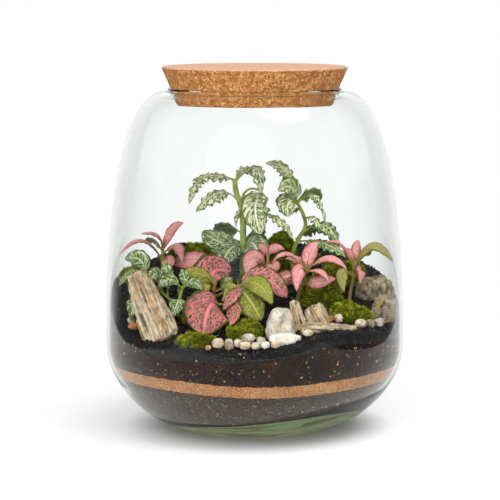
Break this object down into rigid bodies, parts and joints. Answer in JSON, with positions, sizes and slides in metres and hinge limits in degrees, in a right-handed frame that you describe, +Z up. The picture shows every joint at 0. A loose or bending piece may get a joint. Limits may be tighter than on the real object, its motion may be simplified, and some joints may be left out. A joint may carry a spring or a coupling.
{
  "type": "closed terrarium",
  "caption": "Closed glass terrarium: a round jar with a cork stopper, layered soil and sand, stones, moss and nerve plants.",
  "frame": {"origin": "centre of the jar's flat foot, on the surface it stands on", "axes": "+Z up along the jar's axis; -Y is the front, where the slope of the planting is lowest"},
  "size_m": [0.25, 0.25, 0.303],
  "materials": {
    "glass": "polished clear glass, faintly green where it is thick",
    "cork": "pressed cork granules, sanded",
    "substrate": "damp brown substrate with pale specks",
    "sand": "fine orange-tan sand",
    "soil": "dark potting soil with pale crumbs",
    "grit": "coarse black grit, slightly glossy",
    "wood_stone": "petrified wood with lengthwise grain",
    "pale_stone": "smooth cream pebble",
    "boulder_stone": "rough grey-brown stone",
    "moss": "live cushion moss",
    "white_veined_leaf": "green leaf with cream-white veins, satin",
    "pink_veined_leaf": "green leaf with salmon-pink veins, satin"
  },
  "bodies": {
    "root": {"glass_jar": "glass", "cork_stopper": "cork", "lower_substrate": "substrate", "sand_band": "sand", "potting_soil": "soil", "black_grit": "grit", "wood_slab_left": "wood_stone", "wood_stone_tall": "wood_stone", "wood_stone_low": "wood_stone", "wood_stone_flat": "wood_stone", "light_chip": "wood_stone", "stone_left_a": "wood_stone", "stone_left_b": "wood_stone", "pebble_11": "wood_stone", "orange_chip": "wood_stone", "smooth_stone": "pale_stone", "white_cobble": "pale_stone", "chip_by_cobble": "pale_stone", "stone_right_a": "pale_stone", "stone_right_c": "pale_stone", "pebble_01": "pale_stone", "pebble_02": "pale_stone", "pebble_03": "pale_stone", "pebble_04": "pale_stone", "pebble_05": "pale_stone", "pebble_06": "pale_stone", "pebble_07": "pale_stone", "pebble_08": "pale_stone", "pebble_09": "pale_stone", "boulder_back": "boulder_stone", "boulder_right": "boulder_stone", "stone_right_b": "boulder_stone", "pebble_10": "boulder_stone", "moss_left": "moss", "moss_back": "moss", "moss_ball": "moss", "moss_centre": "moss", "moss_behind_stones": "moss", "moss_front": "moss", "moss_front_left": "moss", "moss_dark": "moss", "moss_right": "moss", "moss_back_right": "moss", "fittonia_white_tall": "white_veined_leaf", "fittonia_white_right": "white_veined_leaf", "fittonia_white_left": "white_veined_leaf", "fittonia_pink_left": "pink_veined_leaf", "fittonia_pink_front": "pink_veined_leaf", "fittonia_pink_centre": "pink_veined_leaf", "fittonia_pink_rosette": "pink_veined_leaf", "fittonia_pink_far": "pink_veined_leaf"}
  },
  "joints": []
}
